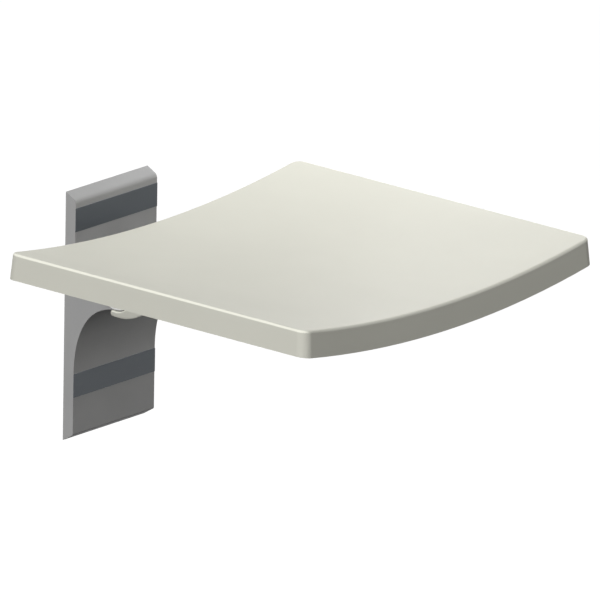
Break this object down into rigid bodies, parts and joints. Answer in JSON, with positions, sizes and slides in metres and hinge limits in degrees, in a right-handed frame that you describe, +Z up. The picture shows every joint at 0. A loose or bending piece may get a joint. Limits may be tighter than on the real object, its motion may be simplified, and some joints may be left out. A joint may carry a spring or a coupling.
{
  "type": "fold down wall seat",
  "caption": "Wall seat with a dished plastic seat that folds up on two hooks, which turn on the round ends of an axle in the nose of a curved wall bracket.",
  "frame": {"origin": "centre of the four wall screw holes, on the plane of the wall", "axes": "+X along the wall to the right of someone who faces the wall's front from outside, +Y into the wall, +Z up; the seat stands out along -Y"},
  "size_m": [0.45, 0.4605, 0.2642],
  "materials": {
    "bracket_paint": "satin grey powder coat",
    "cap_plastic": "satin grey",
    "strip_plastic": "matte anthracite",
    "bare_steel": "zinc plated",
    "bare_aluminium": "satin turned",
    "sleeve_plastic": "dark bearing plastic",
    "stop_rubber": "matte black",
    "seat_plastic": "satin cream white",
    "arm_paint": "satin cream powder coat"
  },
  "bodies": {
    "bracket": {"bracket_profile": "bracket_paint", "end_cap_left": "cap_plastic", "end_cap_right": "cap_plastic", "upper_cover_strip": "strip_plastic", "lower_cover_strip": "strip_plastic", "hinge_axle": "bare_steel", "trunnion_left": "bare_aluminium", "trunnion_right": "bare_aluminium", "trunnion_sleeve_left": "sleeve_plastic", "trunnion_sleeve_right": "sleeve_plastic", "trunnion_screws": "bare_steel", "stop_pad_left": "stop_rubber", "stop_pad_right": "stop_rubber", "rest_bumper": "stop_rubber"},
    "seat": {"seat_shell": "seat_plastic", "hook_arm_left": "arm_paint", "hook_arm_right": "arm_paint", "rear_cross_bar": "bare_steel", "front_cross_bar": "bare_steel", "cross_bar_screws": "bare_steel", "seat_screws": "bare_steel", "seat_washers": "bare_steel", "levelling_screws": "bare_steel", "lock_nuts": "bare_steel"}
  },
  "joints": [
    {"name": "seat_fold", "type": "hinge", "parent": "bracket", "child": "seat", "pos_m": [0, -0.075, 0.0312], "axis": [-1, 0, 0], "range_deg": [0, 90]}
  ]
}
